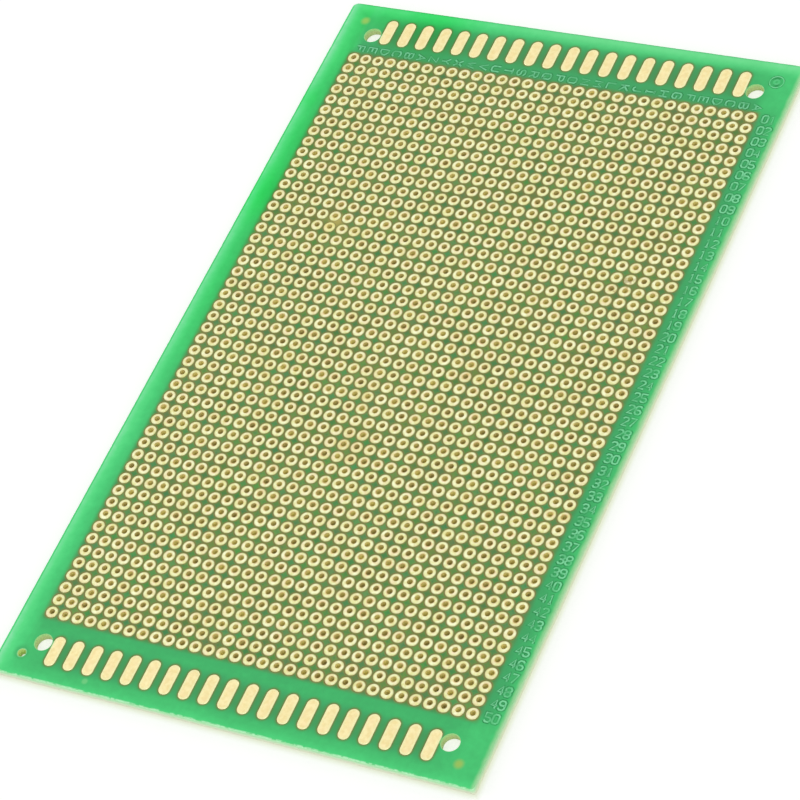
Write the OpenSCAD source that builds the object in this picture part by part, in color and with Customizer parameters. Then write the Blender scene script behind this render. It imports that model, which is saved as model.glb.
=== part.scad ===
// Prototype board: a bare circuit board for hand-soldered circuits. A sheet of
// glass-epoxy laminate carries a grid of drilled copper pads, a row of long
// copper pads along each short end, and a film of green lacquer everywhere else.
// The origin is under the middle of the board, X runs across it, Y runs towards
// the end where the rows of holes start, and Z points out of the copper side.

/* [Hole grid] */
// distance between neighbouring holes, both ways
hole_pitch = 2.54; // [2:0.01:5.08]
// number of columns of holes across the board
column_count = 32; // [24:1:32]
// number of rows of holes along the board
row_count = 50; // [6:1:50]
// diameter of each drilled component hole
hole_d = 1; // [0.6:0.05:1.4]
// bare gap left between the copper of two neighbouring pads
pad_gap = 0.36; // [0.28:0.02:0.6]

/* [Board] */
// distance from a long side of the board to the outer column of holes
side_border = 5.63; // [4.6:0.01:12]
// distance from an end of the board to the first or last row of holes
end_border = 12.77; // [11.5:0.01:25]
// thickness of the bare laminate
laminate_t = 1.55; // [0.8:0.05:2.4]
// thickness of the copper foil with its plating
copper_t = 0.05; // [0.03:0.005:0.12]
// thickness of the lacquer film
lacquer_t = 0.03; // [0.02:0.005:0.06]
// radius of the worn back left corner
worn_corner_r = 1.1; // [0.4:0.1:2]
// radius of the other three corners
corner_r = 0.4; // [0.2:0.1:1.5]

/* [Lacquer] */
// bare laminate left between a pad and the lacquer around it
lacquer_clearance = 0.12; // [0.05:0.01:0.16]
// strip left without lacquer along the cut edges
lacquer_edge_strip = 0.15; // [0.05:0.05:0.5]

/* [Edge pads] */
// number of long pads along each end
edge_pad_count = 20; // [4:1:26]
// width of a long pad
edge_pad_w = 2.06; // [1.2:0.02:2.6]
// length of a long pad, with its round ends
edge_pad_l = 5.75; // [3:0.05:7]
// distance from the end of the board to the middle of the long pads
edge_pad_inset = 5.85; // [4:0.05:6.5]
// gap between the outermost long pad and the mounting hole beside it
edge_pad_hole_gap = 0.22; // [0.15:0.01:2]

/* [Mounting holes] */
// diameter of the four mounting holes
mount_hole_d = 3.2; // [2.2:0.1:4]
// distance from each board edge to the middle of a mounting hole
mount_hole_inset = 7; // [6.2:0.1:8.5]

/* [Tooling hole] */
// diameter of the small tooling hole in the front left corner
tooling_hole_d = 1.5; // [0.8:0.1:2]
// distance from both board edges to the middle of the tooling hole
tooling_hole_inset = 4.2; // [3:0.1:5]

/* [Hidden] */
$fn = 40;
// over-length of a cut, so that it comes out of both faces
cut = 1;
board_w = (column_count - 1) * hole_pitch + 2 * side_border;
board_l = (row_count - 1) * hole_pitch + 2 * end_border;
pad_d = hole_pitch - pad_gap;
mount_x = board_w / 2 - mount_hole_inset;
mount_y = board_l / 2 - mount_hole_inset;
edge_pad_span = 2 * mount_x - mount_hole_d - 2 * edge_pad_hole_gap - edge_pad_w;
edge_pad_pitch = edge_pad_span / (edge_pad_count - 1);
edge_pad_y = board_l / 2 - edge_pad_inset;
tooling_x = board_w / 2 - tooling_hole_inset;
tooling_y = board_l / 2 - tooling_hole_inset;

// Column 0 is the right-hand one, lettered A, and row 0 is at the back.
function column_x(i) = ((column_count - 1) / 2 - i) * hole_pitch;
function row_y(j) = ((row_count - 1) / 2 - j) * hole_pitch;

// The letters start again after Z, and the second run of them takes a 2.
function column_node(i) = str("pad_column_", chr(97 + i % 26), i < 26 ? "" : "2");

// What a corner radius takes away from a square corner that points to +X and +Y.
module corner_waste(r) {
    difference() {
        translate([-r, -r]) square([r + cut, r + cut]);
        translate([-r, -r]) circle(r = r);
    }
}

// Outline of the board, drawn in by the given distance all round.
module board_outline(inset = 0) {
    half_w = board_w / 2 - inset;
    half_l = board_l / 2 - inset;
    difference() {
        square([2 * half_w, 2 * half_l], center = true);
        translate([-half_w, half_l]) mirror([1, 0]) corner_waste(worn_corner_r - inset);
        translate([half_w, half_l]) corner_waste(corner_r);
        translate([half_w, -half_l]) mirror([0, 1]) corner_waste(corner_r);
        translate([-half_w, -half_l]) rotate(180) corner_waste(corner_r);
    }
}

// One circle on every hole of the grid.
module grid_circles(d) {
    for (i = [0 : column_count - 1], j = [0 : row_count - 1])
        translate([column_x(i), row_y(j)]) circle(d = d);
}

// One circle on each of the four mounting holes.
module mount_circles(d) {
    for (x = [-mount_x, mount_x], y = [-mount_y, mount_y])
        translate([x, y]) circle(d = d);
}

// The tooling hole's circle.
module tooling_circle(d) {
    translate([-tooling_x, -tooling_y]) circle(d = d);
}

// Outline of one long pad with round ends, widened all round by the given margin.
module edge_pad_outline(margin = 0) {
    straight = edge_pad_l - edge_pad_w;
    w = edge_pad_w + 2 * margin;
    square([w, straight], center = true);
    for (y = [-straight / 2, straight / 2]) translate([0, y]) circle(d = w);
}

// The row of long pads along one end, on the side given by +1 or -1.
module edge_pad_row(side, margin = 0) {
    for (k = [0 : edge_pad_count - 1])
        translate([(k - (edge_pad_count - 1) / 2) * edge_pad_pitch, side * edge_pad_y])
            edge_pad_outline(margin);
}

// Glass-epoxy sheet, drilled right through.
module laminate() {
    color("khaki") linear_extrude(laminate_t) difference() {
        board_outline();
        grid_circles(hole_d);
        mount_circles(mount_hole_d);
        tooling_circle(tooling_hole_d);
    }
}

// Green lacquer on the copper side, open over every pad and hole.
module solder_mask() {
    color("mediumseagreen") translate([0, 0, laminate_t])
        linear_extrude(lacquer_t) difference() {
            board_outline(lacquer_edge_strip);
            grid_circles(pad_d + 2 * lacquer_clearance);
            edge_pad_row(1, lacquer_clearance);
            edge_pad_row(-1, lacquer_clearance);
            mount_circles(mount_hole_d);
            tooling_circle(tooling_hole_d);
        }
}

// One column of ring-shaped copper pads.
module pad_column(i) {
    color("wheat") translate([column_x(i), 0, laminate_t]) for (j = [0 : row_count - 1])
        translate([0, row_y(j)]) linear_extrude(copper_t) difference() {
            circle(d = pad_d);
            circle(d = hole_d);
        }
}

// The long copper pads along one end.
module edge_pads(side) {
    color("wheat") translate([0, 0, laminate_t]) linear_extrude(copper_t) edge_pad_row(side);
}

laminate();
solder_mask();
edge_pads(1);  // back_edge_pads
edge_pads(-1);  // front_edge_pads
for (i = [0 : column_count - 1])
    pad_column(i);
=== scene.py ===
"""Prototype board: a bare circuit board for hand-soldered circuits."""

import logging
import math
import random
import string
from dataclasses import dataclass
from enum import Enum

import bmesh
import bpy
from mathutils import Matrix, Vector, noise

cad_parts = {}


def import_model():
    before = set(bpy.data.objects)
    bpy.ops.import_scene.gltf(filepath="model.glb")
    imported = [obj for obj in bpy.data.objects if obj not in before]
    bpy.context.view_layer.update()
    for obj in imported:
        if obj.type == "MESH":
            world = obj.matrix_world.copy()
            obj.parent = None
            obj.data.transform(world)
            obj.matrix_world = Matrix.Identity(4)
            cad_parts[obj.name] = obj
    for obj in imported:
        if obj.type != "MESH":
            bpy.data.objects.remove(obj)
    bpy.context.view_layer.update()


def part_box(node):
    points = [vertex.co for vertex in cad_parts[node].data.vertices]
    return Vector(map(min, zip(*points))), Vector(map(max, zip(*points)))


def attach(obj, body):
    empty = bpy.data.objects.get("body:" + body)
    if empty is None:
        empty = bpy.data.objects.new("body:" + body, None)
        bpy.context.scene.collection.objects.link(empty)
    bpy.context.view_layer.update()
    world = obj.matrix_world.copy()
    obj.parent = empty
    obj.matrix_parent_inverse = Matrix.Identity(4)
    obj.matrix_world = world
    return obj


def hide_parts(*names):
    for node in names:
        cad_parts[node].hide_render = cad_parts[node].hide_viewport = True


LOG = logging.getLogger("prototype_board")
# a millimetre in metres, which are the frame's own unit
MM = 0.001
# points nearer than this many millimetres become one
MERGE = 0.002
# lengths below this count as nothing
TINY = 1e-6
# a face is level when its normal points up or down by more than this
LEVEL = 0.9
ALPHABET = string.ascii_uppercase
Mesh = bmesh.types.BMesh
Socket = bpy.types.NodeSocket
Material = bpy.types.Material


def linear(code: str) -> tuple[float, float, float, float]:
    """Turn a paint code such as "4caf50" into linear light values.

    Args:
        code: six hexadecimal digits, two each for red, green and blue.

    Returns:
        The colour as the shaders take it, with an opacity of one.
    """
    parts = [int(code[i:i + 2], 16) / 255 for i in (0, 2, 4)]
    # the standard curve from screen values to light
    light = [p / 12.92 if p <= 0.04045 else ((p + 0.055) / 1.055) ** 2.4 for p in parts]
    return (light[0], light[1], light[2], 1.0)


class Side(Enum):
    """The two short ends of the board."""

    BACK = 1
    FRONT = -1


class Place(Enum):
    """Where a face of the sheet lies, which is also the number of its finish."""

    EDGE = 0
    UNDERSIDE = 1
    TOP = 2
    SMALL_WALL = 3
    WIDE_WALL = 4


@dataclass(frozen=True)
class Layout:
    """Where everything on the board is, in millimetres, read from the frame."""

    half_w: float
    half_l: float
    sheet_top: float
    film_top: float
    copper_top: float
    pitch: float
    columns: int
    rows: int
    pad_d: float
    edge_pad_y: float
    edge_pad_len: float
    edge_row_half: float
    hole_d: float = 1.0
    opening_gap: float = 0.12
    edge_pad_w: float = 2.06
    edge_pad_count: int = 20
    mount_d: float = 3.2
    mount_inset: float = 7.0
    tooling_d: float = 1.5
    tooling_inset: float = 4.2
    worn_corner: float = 1.1
    corner: float = 0.4
    drill_drift: tuple[float, float] = (0.02, 0.09)
    wide_sides: int = 40
    narrow_sides: int = 28

    @classmethod
    def from_frame(cls) -> "Layout":
        """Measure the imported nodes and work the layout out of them.

        Returns:
            The layout.
        """
        low, high = (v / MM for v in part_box("laminate"))
        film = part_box("solder_mask")[1] / MM
        first_low, first_high = (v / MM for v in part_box("pad_column_a"))
        next_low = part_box("pad_column_b")[0] / MM
        edge_low, edge_high = (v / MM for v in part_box("back_edge_pads"))
        pitch = round(first_low.x - next_low.x, 3)
        pad_d = round(first_high.x - first_low.x, 3)
        last_x = (first_low.x + first_high.x) / 2
        return cls(
            half_w=(high.x - low.x) / 2,
            half_l=(high.y - low.y) / 2,
            sheet_top=high.z,
            film_top=film.z,
            copper_top=first_high.z,
            pitch=pitch,
            columns=round(2 * last_x / pitch) + 1,
            rows=round((first_high.y - first_low.y - pad_d) / pitch) + 1,
            pad_d=pad_d,
            edge_pad_y=(edge_low.y + edge_high.y) / 2,
            edge_pad_len=edge_high.y - edge_low.y,
            edge_row_half=(edge_high.x - edge_low.x) / 2,
        )

    def column_x(self, index: int) -> float:
        """Middle of a column of holes, counted from the right-hand one."""
        return ((self.columns - 1) / 2 - index) * self.pitch

    def row_y(self, index: int) -> float:
        """Middle of a row of holes, counted from the back one."""
        return ((self.rows - 1) / 2 - index) * self.pitch

    @property
    def opening_d(self) -> float:
        """Width of the opening that the lacquer leaves round a ring pad."""
        return self.pad_d + 2 * self.opening_gap

    @property
    def grid_half(self) -> tuple[float, float]:
        """Half the width and half the length of the field of holes."""
        return (self.columns * self.pitch / 2, self.rows * self.pitch / 2)

    def edge_pad_xs(self) -> list[float]:
        """Middles of the long pads across one end.

        Returns:
            The places across the board, from left to right.
        """
        reach = self.edge_row_half - self.edge_pad_w / 2
        step = 2 * reach / (self.edge_pad_count - 1)
        return [k * step - reach for k in range(self.edge_pad_count)]

    def mount_points(self) -> list[tuple[float, float]]:
        """Middles of the four mounting holes.

        Returns:
            Each middle's place across and along the board.
        """
        x = self.half_w - self.mount_inset
        y = self.half_l - self.mount_inset
        return [(x, y), (-x, y), (-x, -y), (x, -y)]

    def tooling_point(self) -> tuple[float, float]:
        """Middle of the small hole in the front left corner."""
        return (self.tooling_inset - self.half_w, self.tooling_inset - self.half_l)

    def push_in(self, point: bmesh.types.BMVert, depth: float, zone: float) -> None:
        """Move a point near the outline towards the middle of the board.

        Args:
            point: the point.
            depth: how far it moves.
            zone: how near the outline it has to be.
        """
        if abs(point.co.x) > self.half_w - zone:
            point.co.x -= math.copysign(depth, point.co.x)
        if abs(point.co.y) > self.half_l - zone:
            point.co.y -= math.copysign(depth, point.co.y)


# ---------------------------------------------------------------- finishes


@dataclass(frozen=True)
class Value:
    """A number or a colour that one shader node hands to the next, and that takes ordinary sums."""

    recipe: "Recipe"
    socket: Socket

    def __add__(self, other: "Amount") -> "Value":
        """This number and another one together."""
        return self.recipe.math("ADD", self, other)

    def __sub__(self, other: "Amount") -> "Value":
        """This number less another one."""
        return self.recipe.math("SUBTRACT", self, other)

    def __rsub__(self, other: "Amount") -> "Value":
        """Another number less this one."""
        return self.recipe.math("SUBTRACT", other, self)

    def __mul__(self, other: "Amount") -> "Value":
        """This number times another one."""
        return self.recipe.math("MULTIPLY", self, other)

    def __truediv__(self, other: "Amount") -> "Value":
        """This number divided by another one."""
        return self.recipe.math("DIVIDE", self, other)

    def __abs__(self) -> "Value":
        """This number without its sign."""
        return self.recipe.math("ABSOLUTE", self)


Amount = Value | float
Paint = Value | str


class Recipe:
    """Writes one finish down as shader nodes."""

    def __init__(self, name: str) -> None:
        """Start an empty finish with a Principled surface on it.

        Args:
            name: the finish's name.
        """
        self.material = bpy.data.materials.new(name)
        self.material.use_nodes = True
        self.tree = self.material.node_tree
        self.tree.nodes.clear()
        self.surface = self.add("ShaderNodeBsdfPrincipled")
        self.output = self.add("ShaderNodeOutputMaterial")
        self.tree.links.new(self.surface.outputs[0], self.output.inputs[0])
        self.place = self.add("ShaderNodeTexCoord").outputs["Object"]
        parts = self.add("ShaderNodeSeparateXYZ")
        self.tree.links.new(self.place, parts.inputs[0])
        self.x, self.y, self.z = (Value(self, socket) / MM for socket in parts.outputs)

    def add(self, kind: str) -> bpy.types.Node:
        """Put one node of the given kind on the sheet."""
        return self.tree.nodes.new(kind)

    def feed(self, socket: Socket, value: object) -> None:
        """Give an input a link or a plain value.

        Args:
            socket: the input.
            value: another node's output, or a number or colour.
        """
        value = value.socket if isinstance(value, Value) else value
        if isinstance(value, Socket):
            self.tree.links.new(value, socket)
        else:
            socket.default_value = value

    def math(self, rule: str, a: Amount, b: Amount = 0.0, clamp: bool = False) -> Value:
        """One sum on one or two numbers.

        Args:
            rule: the Math node's operation.
            a: first number or output.
            b: second number or output.
            clamp: whether the result is kept between zero and one.

        Returns:
            The result's output.
        """
        node = self.add("ShaderNodeMath")
        node.operation = rule
        node.use_clamp = clamp
        self.feed(node.inputs[0], a)
        self.feed(node.inputs[1], b)
        return Value(self, node.outputs[0])

    def most(self, a: Amount, b: Amount) -> Value:
        """Larger of two numbers."""
        return self.math("MAXIMUM", a, b)

    def least(self, a: Amount, b: Amount) -> Value:
        """Smaller of two numbers."""
        return self.math("MINIMUM", a, b)

    def span(self, value: Amount, low: float, high: float, start: float = 0.0,
             end: float = 1.0) -> Value:
        """Stretch a range of numbers smoothly onto another one.

        Args:
            value: the number to stretch.
            low: where the range begins.
            high: where the range ends.
            start: result at the beginning.
            end: result at the end.

        Returns:
            The result's output.
        """
        node = self.add("ShaderNodeMapRange")
        node.interpolation_type = "SMOOTHSTEP"
        self.feed(node.inputs["Value"], value)
        for name, number in (("From Min", low), ("From Max", high), ("To Min", start), ("To Max", end)):
            node.inputs[name].default_value = number
        return Value(self, node.outputs["Result"])

    def fade(self, value: Amount, low: float, high: float, most: float = 1.0) -> Value:
        """Let a strength fall smoothly to nothing over a range of numbers.

        Args:
            value: the number that decides.
            low: where the fall begins.
            high: where nothing is left.
            most: the strength below the range.

        Returns:
            The strength's output.
        """
        return self.span(value, low, high, most, 0.0)

    def grain(self, size: float, detail: float = 3.0, stretch: tuple[float, float, float] = (1, 1, 1),
              seed: float = 0.0) -> Value:
        """Cloudy noise with features of about the given size in millimetres.

        Args:
            size: width of one feature.
            detail: how many finer layers lie on it.
            stretch: how much finer the pattern is along each axis.
            seed: shifts the pattern along.

        Returns:
            A number around one half.
        """
        turn = self.add("ShaderNodeMapping")
        self.feed(turn.inputs["Vector"], self.place)
        turn.inputs["Location"].default_value = (seed, seed * 0.7, seed * 0.3)
        turn.inputs["Scale"].default_value = stretch
        node = self.add("ShaderNodeTexNoise")
        self.feed(node.inputs["Vector"], turn.outputs[0])
        node.inputs["Scale"].default_value = 1 / (size * MM)
        node.inputs["Detail"].default_value = detail
        return Value(self, node.outputs[0])

    def weave(self, pitch: float) -> Value:
        """Plain weave of glass yarns, seen through resin.

        Args:
            pitch: width of a yarn in millimetres.

        Returns:
            A number from zero in the gaps to one on the crowns.
        """
        across = self.math("SINE", self.x * (math.pi / pitch))
        along = self.math("SINE", self.y * (math.pi / pitch))
        return self.half_up(across * along)

    def chips(self) -> Value:
        """Small pale chips along the front edge, the same on the film and on the side under it."""
        return self.span(self.grain(0.9, 3.0, seed=8.4), 0.38, 0.54)

    def half_up(self, value: Value) -> Value:
        """Move a number from minus one and one to zero and one."""
        return (value + 1.0) * 0.5

    def ramp(self, value: Value, stops: list[tuple[float, str | float]]) -> Value:
        """Colours along a scale.

        Args:
            value: place on the scale, from zero to one.
            stops: places, each with its paint code or brightness.

        Returns:
            The colour's output.
        """
        node = self.add("ShaderNodeValToRGB")
        self.feed(node.inputs[0], value)
        band = node.color_ramp
        for index, (place, paint) in enumerate(stops):
            # a new ramp already holds two stops
            stop = band.elements[index] if index < 2 else band.elements.new(place)
            stop.position = place
            stop.color = linear(paint) if isinstance(paint, str) else (paint, paint, paint, 1.0)
        return Value(self, node.outputs[0])

    def mix(self, share: Amount, a: Paint, b: Paint, blend: str = "MIX") -> Value:
        """Lay one colour over another.

        Args:
            share: how much of the second one shows.
            a: first colour, as an output or a paint code.
            b: second colour, as an output or a paint code.
            blend: the Mix node's blend type.

        Returns:
            The colour's output.
        """
        node = self.add("ShaderNodeMix")
        node.data_type = "RGBA"
        node.blend_type = blend
        self.feed(node.inputs[0], share)
        # the node's sockets for colours come after those for numbers and vectors
        for number, paint in ((6, a), (7, b)):
            self.feed(node.inputs[number], linear(paint) if isinstance(paint, str) else paint)
        return Value(self, node.outputs[2])

    def bump(self, height: Value, strength: float, depth: float) -> None:
        """Raise the surface's fine relief.

        Args:
            height: output that gives the relief, from zero to one.
            strength: how strongly it shows.
            depth: its height in millimetres.
        """
        node = self.add("ShaderNodeBump")
        node.inputs["Strength"].default_value = strength
        node.inputs["Distance"].default_value = depth * MM
        self.feed(node.inputs["Height"], height)
        self.tree.links.new(node.outputs[0], self.surface.inputs["Normal"])

    def set(self, **values: object) -> None:
        """Set the surface's own sockets, named with underscores for spaces."""
        for name, value in values.items():
            self.feed(self.surface.inputs[name.replace("_", " ")], value)

    def length(self, across: Value, along: Value) -> Value:
        """Length of a step that goes so far across and so far along."""
        return self.math("SQRT", across * across + along * along)

    def spot(self, x: float, y: float, radius: float, soft: float) -> Value:
        """A round patch on the board.

        Args:
            x: its middle across the board, in millimetres.
            y: its middle along the board.
            radius: its radius.
            soft: half the width of its soft rim.

        Returns:
            One inside the patch and zero outside.
        """
        return self.fade(self.length(self.x - x, self.y - y), radius - soft, radius + soft)

    def grid_steps(self, layout: Layout) -> list[Value]:
        """How many pitches lie between here and the first hole, across and along."""
        firsts = ((self.x, layout.column_x(0)), (self.y, layout.row_y(0)))
        return [(value - first) / layout.pitch for value, first in firsts]

    def hole_distance(self, layout: Layout, drift: tuple[float, float] = (0.0, 0.0)) -> Value:
        """Distance in millimetres to the nearest point of the grid.

        Args:
            layout: the board's layout.
            drift: how far the point lies off the middle of its pad.

        Returns:
            The distance's output.
        """
        offs = []
        for steps, shift in zip(self.grid_steps(layout), drift):
            rest = steps - self.math("ROUND", steps)
            offs.append(rest * layout.pitch - shift)
        return self.length(offs[0], offs[1])

    def per_cell(self, layout: Layout, rule: str = "ROUND", seed: float = 0.0) -> Value:
        """A different random number, zero to one, on each square of the grid.

        Args:
            layout: the board's layout.
            rule: ROUND for squares round the holes, FLOOR for squares between them.
            seed: gives another set of numbers.

        Returns:
            The number's output.
        """
        join = self.add("ShaderNodeCombineXYZ")
        for socket, steps in zip(join.inputs, self.grid_steps(layout)):
            self.feed(socket, self.math(rule, steps))
        join.inputs[2].default_value = seed
        node = self.add("ShaderNodeTexWhiteNoise")
        node.noise_dimensions = "3D"
        self.feed(node.inputs[0], join.outputs[0])
        return Value(self, node.outputs[0])

    def inside_grid(self, layout: Layout, soft: float = 0.6) -> Value:
        """One over the field of holes and zero outside it.

        Args:
            layout: the board's layout.
            soft: half the width of the field's soft rim.

        Returns:
            The share's output.
        """
        half_x, half_y = layout.grid_half
        across = self.fade(abs(self.x), half_x - soft, half_x + soft)
        along = self.fade(abs(self.y), half_y - soft, half_y + soft)
        return across * along

    def past_long_pads(self, layout: Layout) -> Value:
        """Distance in millimetres along the board from the middle of the nearer row of long pads."""
        return abs(abs(self.y) - layout.edge_pad_y)

    def long_pad_distance(self, layout: Layout) -> Value:
        """Distance in millimetres outwards from the edge of the nearest long pad.

        Args:
            layout: the board's layout.

        Returns:
            The distance's output, below zero on a pad.
        """
        reach = layout.edge_row_half - layout.edge_pad_w / 2
        step = layout.edge_pad_xs()[1] - layout.edge_pad_xs()[0]
        inside = self.least(abs(self.x), reach)
        beyond = abs(self.x) - inside
        off = self.math("PINGPONG", inside - step / 2, step / 2)
        straight = (layout.edge_pad_len - layout.edge_pad_w) / 2
        ends = self.most(self.past_long_pads(layout) - straight, 0.0)
        return self.length(off + beyond, ends) - layout.edge_pad_w / 2


@dataclass(frozen=True)
class LacquerFinish:
    """Glossy green solder lacquer, with painted light: brighter towards the edges of the sheet, where
    light comes through it, and darker among the pads.
    """

    layout: Layout
    name: str = "green_lacquer"
    roughness: float = 0.3
    tint: str = "a4ecba"
    tint_share: float = 0.0
    corner_across: tuple[float, float] = (36.5, 41.0)
    corner_along: tuple[float, float] = (58.0, 65.5)
    cool_left: tuple[float, float] = (-26.0, 12.0)
    back_sheen_span: tuple[float, float] = (-18.0, 2.0)
    # darker patches in the painted glow: place across and along, radius, softness and strength
    deep_spots: tuple[tuple[float, float, float, float, float], ...] = (
        (-44.4, 29.0, 5.5, 5.0, 0.9), (-44.6, 51.5, 2.2, 2.0, 0.7), (-27.5, 74.0, 7.0, 6.5, 0.95),
        (-38.0, 73.0, 3.0, 3.0, 0.5), (-43.0, 41.0, 6.0, 6.0, 0.35))

    def painted_edge_glow(self, recipe: Recipe, gap: Value, stops: list[tuple[float, float]]) -> Value:
        """Painted light: how bright the film is at a distance from one side.

        Args:
            recipe: the finish being written.
            gap: distance from the side, in millimetres.
            stops: distances in millimetres, and the brightness at each.

        Returns:
            The brightness, from zero to one.
        """
        reach = stops[-1][0]
        # the colour ramp runs from the side itself to the last of the distances
        share = recipe.math("DIVIDE", gap, reach, clamp=True)
        return recipe.ramp(share, [(far / reach, bright) for far, bright in stops])

    def gaps(self, recipe: Recipe) -> dict[str, Value]:
        """Distances in millimetres to the four sides of the sheet."""
        lay = self.layout
        return {
            "left": recipe.x + lay.half_w,
            "right": lay.half_w - recipe.x,
            "front": recipe.y + lay.half_l,
            "back": lay.half_l - recipe.y,
        }

    def painted_through_light(self, recipe: Recipe, gaps: dict[str, Value]) -> Value:
        """Painted light: how bright the film is, most along its sides, where light comes through the
        sheet, and least among the pads, where the copper blocks it.

        Args:
            recipe: the finish being written.
            gaps: distances to the four sides.

        Returns:
            The brightness, from zero to one.
        """
        lay = self.layout
        left = self.painted_edge_glow(recipe, gaps["left"], [
            (0.0, 0.5), (0.22, 0.62), (0.45, 0.92), (0.9, 0.86), (1.6, 0.74), (2.6, 0.62), (3.8, 0.52),
            (5.0, 0.34), (9.0, 0.1), (14.0, 0.0)])
        right = self.painted_edge_glow(recipe, gaps["right"], [
            (0.0, 0.52), (0.9, 0.46), (2.0, 0.34), (3.8, 0.25), (4.6, 0.14), (8.0, 0.0)])
        front = self.painted_edge_glow(recipe, gaps["front"], [
            (0.0, 0.66), (0.8, 0.58), (1.6, 0.5), (3.0, 0.44), (9.0, 0.42), (11.2, 0.36), (12.6, 0.1),
            (16.0, 0.0)])
        back = self.painted_edge_glow(recipe, gaps["back"], [
            (0.0, 0.6), (0.22, 0.66), (0.45, 0.8), (1.0, 0.76), (1.6, 0.66), (2.4, 0.54), (3.2, 0.46),
            (9.0, 0.28), (11.0, 0.2), (12.6, 0.06), (16.0, 0.0)])
        glow = recipe.most(recipe.most(left, right), recipe.most(front, back))
        wide, far = abs(recipe.x), abs(recipe.y)
        # painted light: the corners of the sheet brighter still
        corner = recipe.span(wide, *self.corner_across) * recipe.span(far, *self.corner_along)
        glow = recipe.most(glow, corner * 0.48) + corner * 0.05
        # painted shade where the long pads block the light that comes through the sheet
        across = recipe.fade(wide, lay.edge_row_half - 1.0, lay.edge_row_half + 0.8)
        along = recipe.fade(recipe.past_long_pads(lay), 1.0, 4.0)
        glow = glow - across * along * 0.32
        for size, seed in ((9.0, 0.3), (1.3, 0.9)):
            glow = glow + (recipe.grain(size, 3.0, seed=seed) - 0.5) * 0.16
        return glow

    def field_colour(self, recipe: Recipe) -> Value:
        """Colour of the small islands among the ring pads, drifting slowly over the field.

        Args:
            recipe: the finish being written.

        Returns:
            The colour's output.
        """
        lay = self.layout
        shares = []
        for seed, size, reach in ((3.0, 4.5, 0.12), (7.0, 6.5, 0.14)):
            drift = recipe.span(recipe.grain(size, 2.0, seed=seed), 0.5 - reach, 0.5 + reach)
            shares.append((drift + recipe.per_cell(lay, "FLOOR", seed)) * 0.5)
        colour = recipe.mix(shares[0], "53a24e", "7fa252")
        colour = recipe.mix(recipe.per_cell(lay, "FLOOR", 11.0) * 0.3, colour, "4e9c7c")
        colour = recipe.mix(shares[1], colour, "f6d4de", "MULTIPLY")
        along = recipe.span(recipe.y, -lay.grid_half[1], lay.grid_half[1])
        near, far = (recipe.mix(1.0, colour, code, "MULTIPLY") for code in ("f2ffff", "fff4f2"))
        specks = recipe.span(recipe.grain(0.5, 2.0, seed=4.4), 0.45, 0.7, 0.0, 0.35)
        return recipe.mix(specks, recipe.mix(along, near, far), "46785a")

    def rims(self, recipe: Recipe, colour: Value, gaps: dict[str, Value]) -> Value:
        """Pale strips where the film thins over the right and front sides, cooler and deeper patches in
        the painted glow along the left and back, a painted sheen near the back and a line of painted
        shade along the back edge.

        Args:
            recipe: the finish being written.
            colour: the colour before the strips.
            gaps: distances to the four sides.

        Returns:
            The colour with the strips.
        """
        uneven = recipe.grain(1.6, 3.0, seed=6.1) * 0.5
        for side, width, share, code in (("right", 1.1, 0.74, "bce8b0"), ("front", 0.6, 0.26, "8ede9c")):
            colour = recipe.mix(recipe.fade(gaps[side] + uneven, 0.1, width, share), colour, code)
        fringe = recipe.fade(gaps["front"] + uneven * 0.5, 0.22, 0.44, 0.85)
        colour = recipe.mix(recipe.chips() * fringe, colour, "c0ffcc")
        # the painted glow cooler along the upper left side
        low = recipe.span(gaps["left"], 0.8, 2.6)
        high = recipe.fade(gaps["left"], 4.0, 5.5)
        upper = recipe.span(recipe.y, *self.cool_left)
        colour = recipe.mix(low * high * upper, colour, "daffe7", "MULTIPLY")
        # painted sheen: a pale glossy reflection on the film near the back
        beside_back = recipe.fade(gaps["back"], 0.2, 3.2, 0.14)
        pale = beside_back * recipe.span(recipe.x, *self.back_sheen_span)
        colour = recipe.mix(pale, colour, "b8f0c0")
        # painted shade: a thin dark line along the back edge, where the film rounds over into shadow
        colour = recipe.mix(recipe.fade(gaps["back"], 0.05, 0.3, 0.4), colour, "3c8560")
        # deeper green patches in the painted glow along the left and back
        for x, y, radius, soft, share in self.deep_spots:
            colour = recipe.mix(recipe.spot(x, y, radius, soft) * share, colour, "a0ffcc", "MULTIPLY")
        return colour

    def marks(self) -> list[tuple[float, float, float, float, float, str]]:
        """List the round marks: place, radius, softness, strength and paint of each.

        Returns:
            The marks, in the order in which they are laid.
        """
        wide, long = self.layout.half_w, self.layout.half_l
        tooling_x, tooling_y = self.layout.tooling_point()
        return [
            # a ring of painted shade round the tooling hole
            (tooling_x - 0.1, tooling_y + 0.1, 1.3, 0.5, 0.4, "3f9457"),
            (-25.9, 25.7, 1.3, 0.9, 0.85, "c4b464"),
            (-28.3, 25.9, 1.0, 0.8, 0.45, "a8a460"),
            (-24.0, 22.5, 3.0, 2.5, 0.2, "8f9a4a"),
            (4.1 - wide, long - 3.9, 0.72, 0.5, 0.85, "a4d264"),
            (wide - 4.1, 3.75 - long, 0.72, 0.5, 0.85, "a8c85e"),
            (-27.2, -73.1, 0.5, 0.25, 0.6, "86dc8e"),
        ]

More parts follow.
